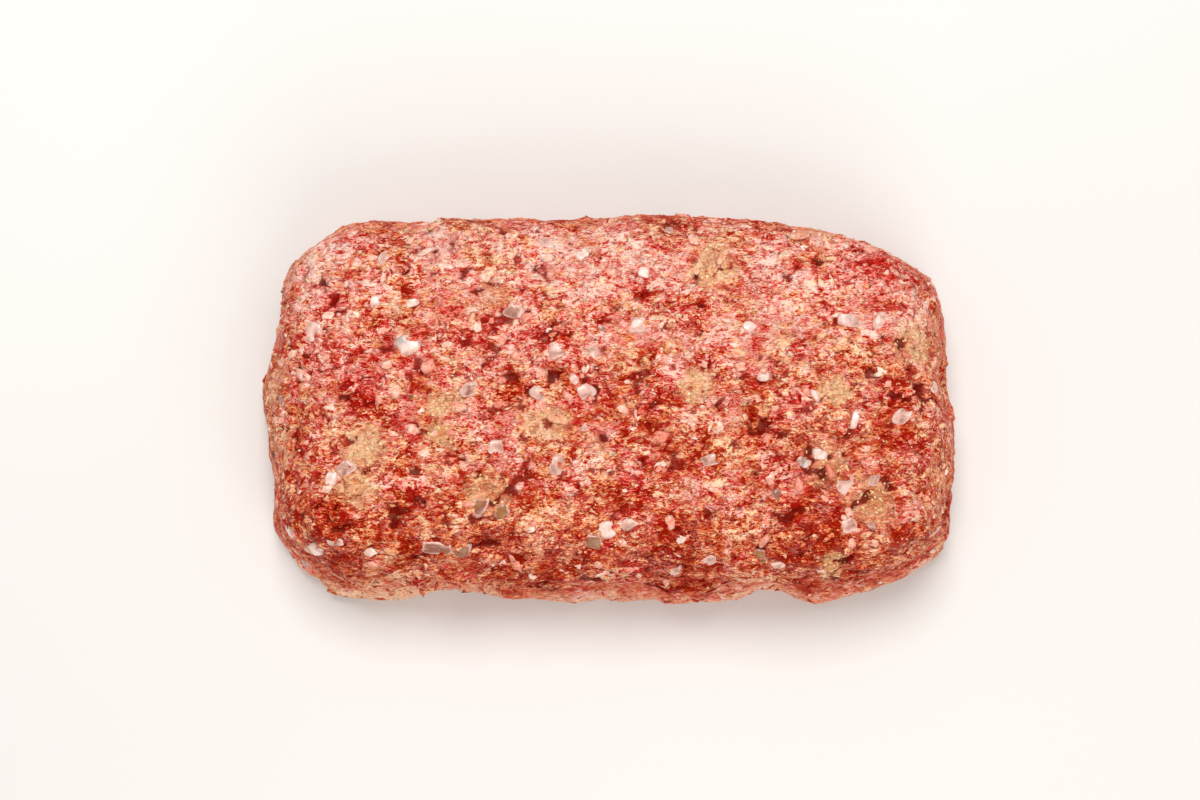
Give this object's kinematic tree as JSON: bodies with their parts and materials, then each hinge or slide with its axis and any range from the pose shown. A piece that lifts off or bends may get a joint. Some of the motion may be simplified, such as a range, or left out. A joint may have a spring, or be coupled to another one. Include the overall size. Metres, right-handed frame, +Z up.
{
  "type": "uncooked meatloaf",
  "caption": "Uncooked hand-shaped loaf of minced beef with diced onion and soaked breadcrumbs, flat underneath, rounded shoulders and corners.",
  "frame": {"origin": "middle of the loaf's footprint, on the surface it rests on", "axes": "+X along the loaf's length, +Y across it towards the back, +Z up"},
  "size_m": [0.2464, 0.1376, 0.0555],
  "materials": {
    "raw_meat": "satin"
  },
  "bodies": {
    "root": {"meatloaf": "raw_meat"}
  },
  "joints": []
}
